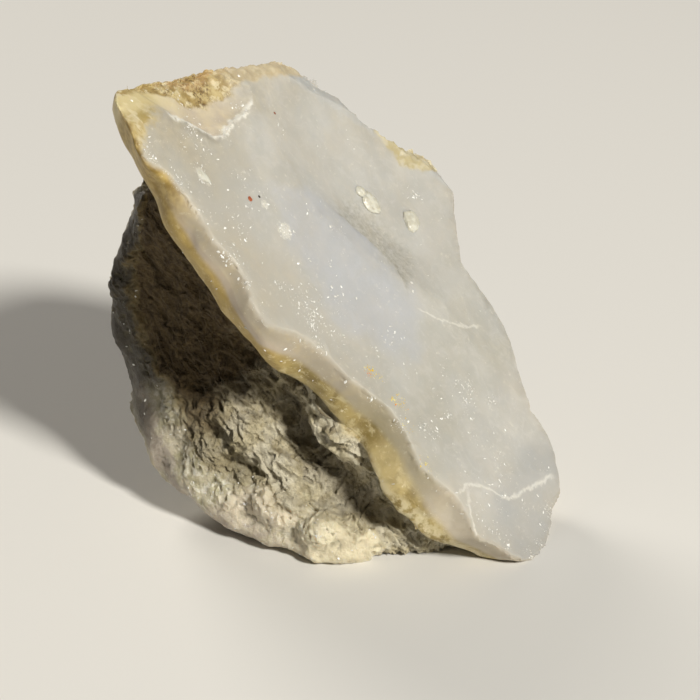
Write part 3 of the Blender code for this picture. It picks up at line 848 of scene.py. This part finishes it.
def scatter(name, count, density, smallest, largest, seed, tilt=0.3):
    """Little flakes sunk in the stone, by a density for each of its triangles: the new object."""
    draw = np.random.default_rng(seed)
    chance = density * areas
    picked = draw.choice(len(areas), count, p=chance / chance.sum())
    shares = draw.dirichlet((1, 1, 1), count)
    places = (stone_points[corners[picked]] * shares[:, :, None]).sum(axis=1)
    size = smallest * (largest / smallest) ** (draw.random(count) ** 3.5)
    parts, faces = [], []
    for index in range(count):
        way = Vector(slopes[picked[index]] + draw.normal(0, tilt, 3)).normalized()
        turn = np.array(way.to_track_quat("Z", "Y").to_matrix())
        spin = draw.random() * 2 * math.pi
        cos, sin = math.cos(spin), math.sin(spin)
        twist = np.array(((cos, -sin, 0), (sin, cos, 0), (0, 0, 1)))
        shape = flake_points * size[index] * (1, 0.4 + 0.9 * draw.random(), 1)
        parts.append(shape @ (turn @ twist).T + places[index])
        faces.append(flake_faces + index * len(flake_points))
    parts = np.concatenate(parts)
    parts[:, 2] = np.maximum(parts[:, 2], 0.01)
    made = bpy.data.meshes.new(name)
    made.from_pydata((parts * MM).tolist(), [], np.concatenate(faces).tolist())
    piece = bpy.data.objects.new(name, made)
    bpy.context.scene.collection.objects.link(piece)
    return piece


def gathered(clusters):
    """A density that is high at each cluster of (across, up, reach, strength)."""
    total = np.zeros(len(middles))
    for place_a, place_u, reach, strength in clusters:
        total += strength * np.exp(-((across - place_a) ** 2 + (up - place_u) ** 2) / reach ** 2)
    return total * face_share


across, up, deep = slab_frame(middles)
face_share, crest_share = at_corners(face), at_corners(layers["relief"][1])
rind_share = at_corners(rind)
clumps = smoothstep(lumpy(middles, 1.6, 16), -0.1, 0.5)
patches = smoothstep(lumpy(middles, 5.0, 36), -0.2, 0.3)
on_face = face_share * 0.05 * (0.6 + 1.6 * (across < 14)) * smoothstep(lumpy(middles, 3.0, 15), -0.1, 0.5)
along_crest = np.exp(-((crest_share - 0.75) / 0.2) ** 2) * (across < 16) * (up < 72) * (deep < 1.5)
density = on_face + 3.2 * gathered(GLINT_CLUSTERS) + 3.5 * along_crest * clumps * patches
density += 0.7 * rind_share * clumps * (1 - 0.85 * smoothstep(up, 34, 44))
density += 0.35 * (1 - face_share) * (deep < BAND_DEPTH) * (across < 12) * (up < 60) * clumps * patches

glints = scatter("quartz_glints", GLINT_COUNT, density, *GLINT_SIZES, 5)
quartz, tree = start_material("Fresh quartz crystal faces")
shader = start_shader({"Roughness": 0.25, "IOR": QUARTZ_IOR})
where = place_in_mm()
# Their near-white colour is partly the quartz's own and partly painted glint.
tree.links.new(
    add("Mix", add("MapRange", cloud(0.5, 3.0), 0.42, 0.66), "#cfcdc5", "#fbfaf6"),
    shader.inputs["Base Color"],
)
glints.data.materials.append(quartz)
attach(glints, "root")

# ------------------------------------------------------------------------------------------------
# Golden glints: a few crystal faces near the crest, coloured yellow and orange as painted iridescent
# glints.

GOLDEN_CLUSTERS = [
    (1.2, 31, 0.7, 1.6), (2, 30.2, 0.6, 1), (1, 26.2, 0.6, 1.3), (1.9, 25.4, 0.5, 1.5),
    (-0.8, 23, 0.5, 0.8), (-3.2, 18.6, 0.5, 1.5),
]
GOLDEN_COUNT = 190
GOLDEN_SIZES = (0.07, 0.26)

golden = scatter("golden_glints", GOLDEN_COUNT, gathered(GOLDEN_CLUSTERS), *GOLDEN_SIZES, 8)
painted_glint, tree = start_material("Quartz with painted golden glint")
shader = start_shader({"Roughness": 0.2, "IOR": QUARTZ_IOR})
where = place_in_mm()
tone = add("Mix", add("MapRange", cloud(0.8, 5.0), 0.42, 0.55), "#e9dc8a", "#dcb93c")
tree.links.new(
    add("Mix", add("MapRange", cloud(1.3, 15.0), 0.56, 0.62), tone, "#e08a4a"),
    shader.inputs["Base Color"],
)
golden.data.materials.append(painted_glint)
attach(golden, "root")

# ------------------------------------------------------------------------------------------------
# Pale crystals: two stubby lumps of cream-coloured chalcedony with a bud beside one, and a thin
# flake. They lie half sunk in the broken face, where they were caught as the agate filled up.

CRYSTALS = [  # across, up, half width, half length, turn in degrees, how proud
    (26.6, 43.8, 1.4, 1.8, 4, 0.65), (26.3, 45.8, 0.8, 0.9, 10, 0.5),
    (30.8, 37.8, 1.4, 1.8, -60, 0.7), (1.2, 62.6, 0.6, 1.1, 15, 0.15),
]


def seat(place_a, place_u):
    """How deep the face lies at a place on the slab."""
    far = (across - place_a) ** 2 + (up - place_u) ** 2 + 100 * (face_share < 0.5)
    return deep[int(np.argmin(far))]


def joined(parts, name):
    """The parts as one object."""
    bpy.ops.object.select_all(action="DESELECT")
    for part in parts:
        part.select_set(True)
    bpy.context.view_layer.objects.active = parts[0]
    bpy.ops.object.join()
    whole = bpy.context.object
    whole.name = whole.data.name = name
    return whole


crystal_parts = []
for index, (place_a, place_u, half_width, half_length, turn, proud) in enumerate(CRYSTALS):
    bpy.ops.object.select_all(action="DESELECT")
    bpy.ops.mesh.primitive_ico_sphere_add(subdivisions=5, radius=1.0)
    crystal = bpy.context.object
    shape = read(crystal.data, "co")
    dented = 0.10 * chipped(shape + 9 * index, 0.8, 40 + index)
    shape *= (1 + dented + 0.10 * lumpy(shape + index, 0.9, 41, 3))[:, None]
    cos, sin = math.cos(math.radians(turn)), math.sin(math.radians(turn))
    wide = shape[:, 0] * half_width * (1 + 0.15 * shape[:, 1])
    long = shape[:, 1] * half_length
    place_a_at, place_u_at = place_a + wide * cos - long * sin, place_u + wide * sin + long * cos
    proud_at = shape[:, 2] * proud - seat(place_a, place_u)
    shape = (SLAB_CORNER + place_a_at[:, None] * ACROSS_SLAB + place_u_at[:, None] * UP_SLAB
             + proud_at[:, None] * FACE_NORMAL)
    crystal.data.vertices.foreach_set("co", (shape * MM).ravel())
    crystal_parts.append(crystal)
crystals = joined(crystal_parts, "pale_crystals")
crystals.data.shade_smooth()
cream_stone, tree = start_material("Cream chalcedony")
shader = start_shader({
    "Roughness": 0.35, "IOR": QUARTZ_IOR, "Subsurface Weight": 0.5,
    "Subsurface Radius": (1.0, 0.9, 0.7), "Subsurface Scale": 0.6 * MM,
})
where = place_in_mm()
tree.links.new(
    add("Mix", add("MapRange", cloud(0.9, 3.0), 0.35, 0.65), "#bab6a6", "#cccabd"),
    shader.inputs["Base Color"],
)
crystals.data.materials.append(cream_stone)
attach(crystals, "root")

# ------------------------------------------------------------------------------------------------
# Specks: three grains of iron oxide caught in the face, one red, one nearly black and one brown.

SPECKS = [  # across, up, reach, how dark
    (5.4, 56.5, 0.36, 0.0), (7.1, 55.8, 0.2, 1.0), (21.1, 61.4, 0.22, 0.35),
]

speck_parts = []
for place_a, place_u, reach, tone in SPECKS:
    bpy.ops.object.select_all(action="DESELECT")
    bpy.ops.mesh.primitive_ico_sphere_add(subdivisions=2, radius=1.0)
    speck = bpy.context.object
    shape = read(speck.data, "co") * reach
    shape *= (1 + 0.5 * lumpy(shape, 0.3, 42))[:, None]
    floor_at = seat(place_a, place_u)
    shape = (SLAB_CORNER + (place_a + shape[:, 0:1]) * ACROSS_SLAB + (place_u + shape[:, 1:2]) * UP_SLAB
             + (0.3 * shape[:, 2:3] - floor_at) * FACE_NORMAL)
    speck.data.vertices.foreach_set("co", (shape * MM).ravel())
    layer = speck.data.attributes.new("tone", "FLOAT", "POINT")
    layer.data.foreach_set("value", np.full(len(shape), tone))
    speck_parts.append(speck)
specks = joined(speck_parts, "iron_specks")
iron, tree = start_material("Iron oxide")
shader = start_shader({"Roughness": 0.6})
where = place_in_mm()
rust = add("Mix", add("MapRange", cloud(0.4, 3.0), 0.4, 0.6), "#8c4426", "#a8603c")
tone = add("Attribute", out="Fac", attribute_name="tone")
tree.links.new(add("Mix", tone, rust, "#3d352c"), shader.inputs["Base Color"])
specks.data.materials.append(iron)
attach(specks, "root")

# ------------------------------------------------------------------------------------------------
# The studio: a plain pale floor, one soft key light from the front right, a weaker one from behind
# and a dim even fill.

bpy.ops.object.select_all(action="DESELECT")
bpy.ops.mesh.primitive_plane_add(size=6.0, location=(0, 0, 0))
floor = bpy.context.object
floor.name = "floor"
paper, tree = start_material("Pale studio paper")
start_shader({"Base Color": linear("#dedcd7"), "Roughness": 0.9})
floor.data.materials.append(paper)

KEY_WAY = Vector((0.48, -0.66, 0.56)).normalized()
BACK_WAY = Vector((-0.45, 0.75, 0.5)).normalized()
TARGET = Vector((0.001756, 0.000864, 0.02082))


def area_light(name, way, distance, size, power, colour):
    """A round lamp that looks at the stone from one way."""
    data = bpy.data.lights.new(name, "AREA")
    data.shape = "DISK"
    data.size = size
    data.energy = power
    data.color = linear(colour)[:3]
    light = bpy.data.objects.new(name, data)
    bpy.context.scene.collection.objects.link(light)
    light.location = TARGET + way * distance
    light.rotation_euler = way.to_track_quat("Z", "Y").to_euler()


area_light("key", KEY_WAY, distance=2.2, size=0.32, power=62.0, colour="#fffcf5")
area_light("back", BACK_WAY, distance=2.2, size=0.9, power=24.0, colour="#fff9f0")

world = bpy.data.worlds.new("studio")
bpy.context.scene.world = world
world.use_nodes = True
world.node_tree.nodes["Background"].inputs["Color"].default_value = linear("#e4e4e3")
world.node_tree.nodes["Background"].inputs["Strength"].default_value = 0.07
bpy.context.scene.view_settings.view_transform = "Standard"

# The camera looks down a little at the broken edge, through a long lens.
DISTANCE = 0.256
ELEVATION = math.radians(22)
lens = bpy.data.cameras.new("camera")
lens.lens = 100
lens.sensor_width = 36
lens.clip_start = 0.01
camera = bpy.data.objects.new("camera", lens)
bpy.context.scene.collection.objects.link(camera)
away = Vector((0, -math.cos(ELEVATION), math.sin(ELEVATION)))
camera.location = TARGET + away * DISTANCE
camera.rotation_euler = away.to_track_quat("Z", "Y").to_euler()
bpy.context.scene.camera = camera
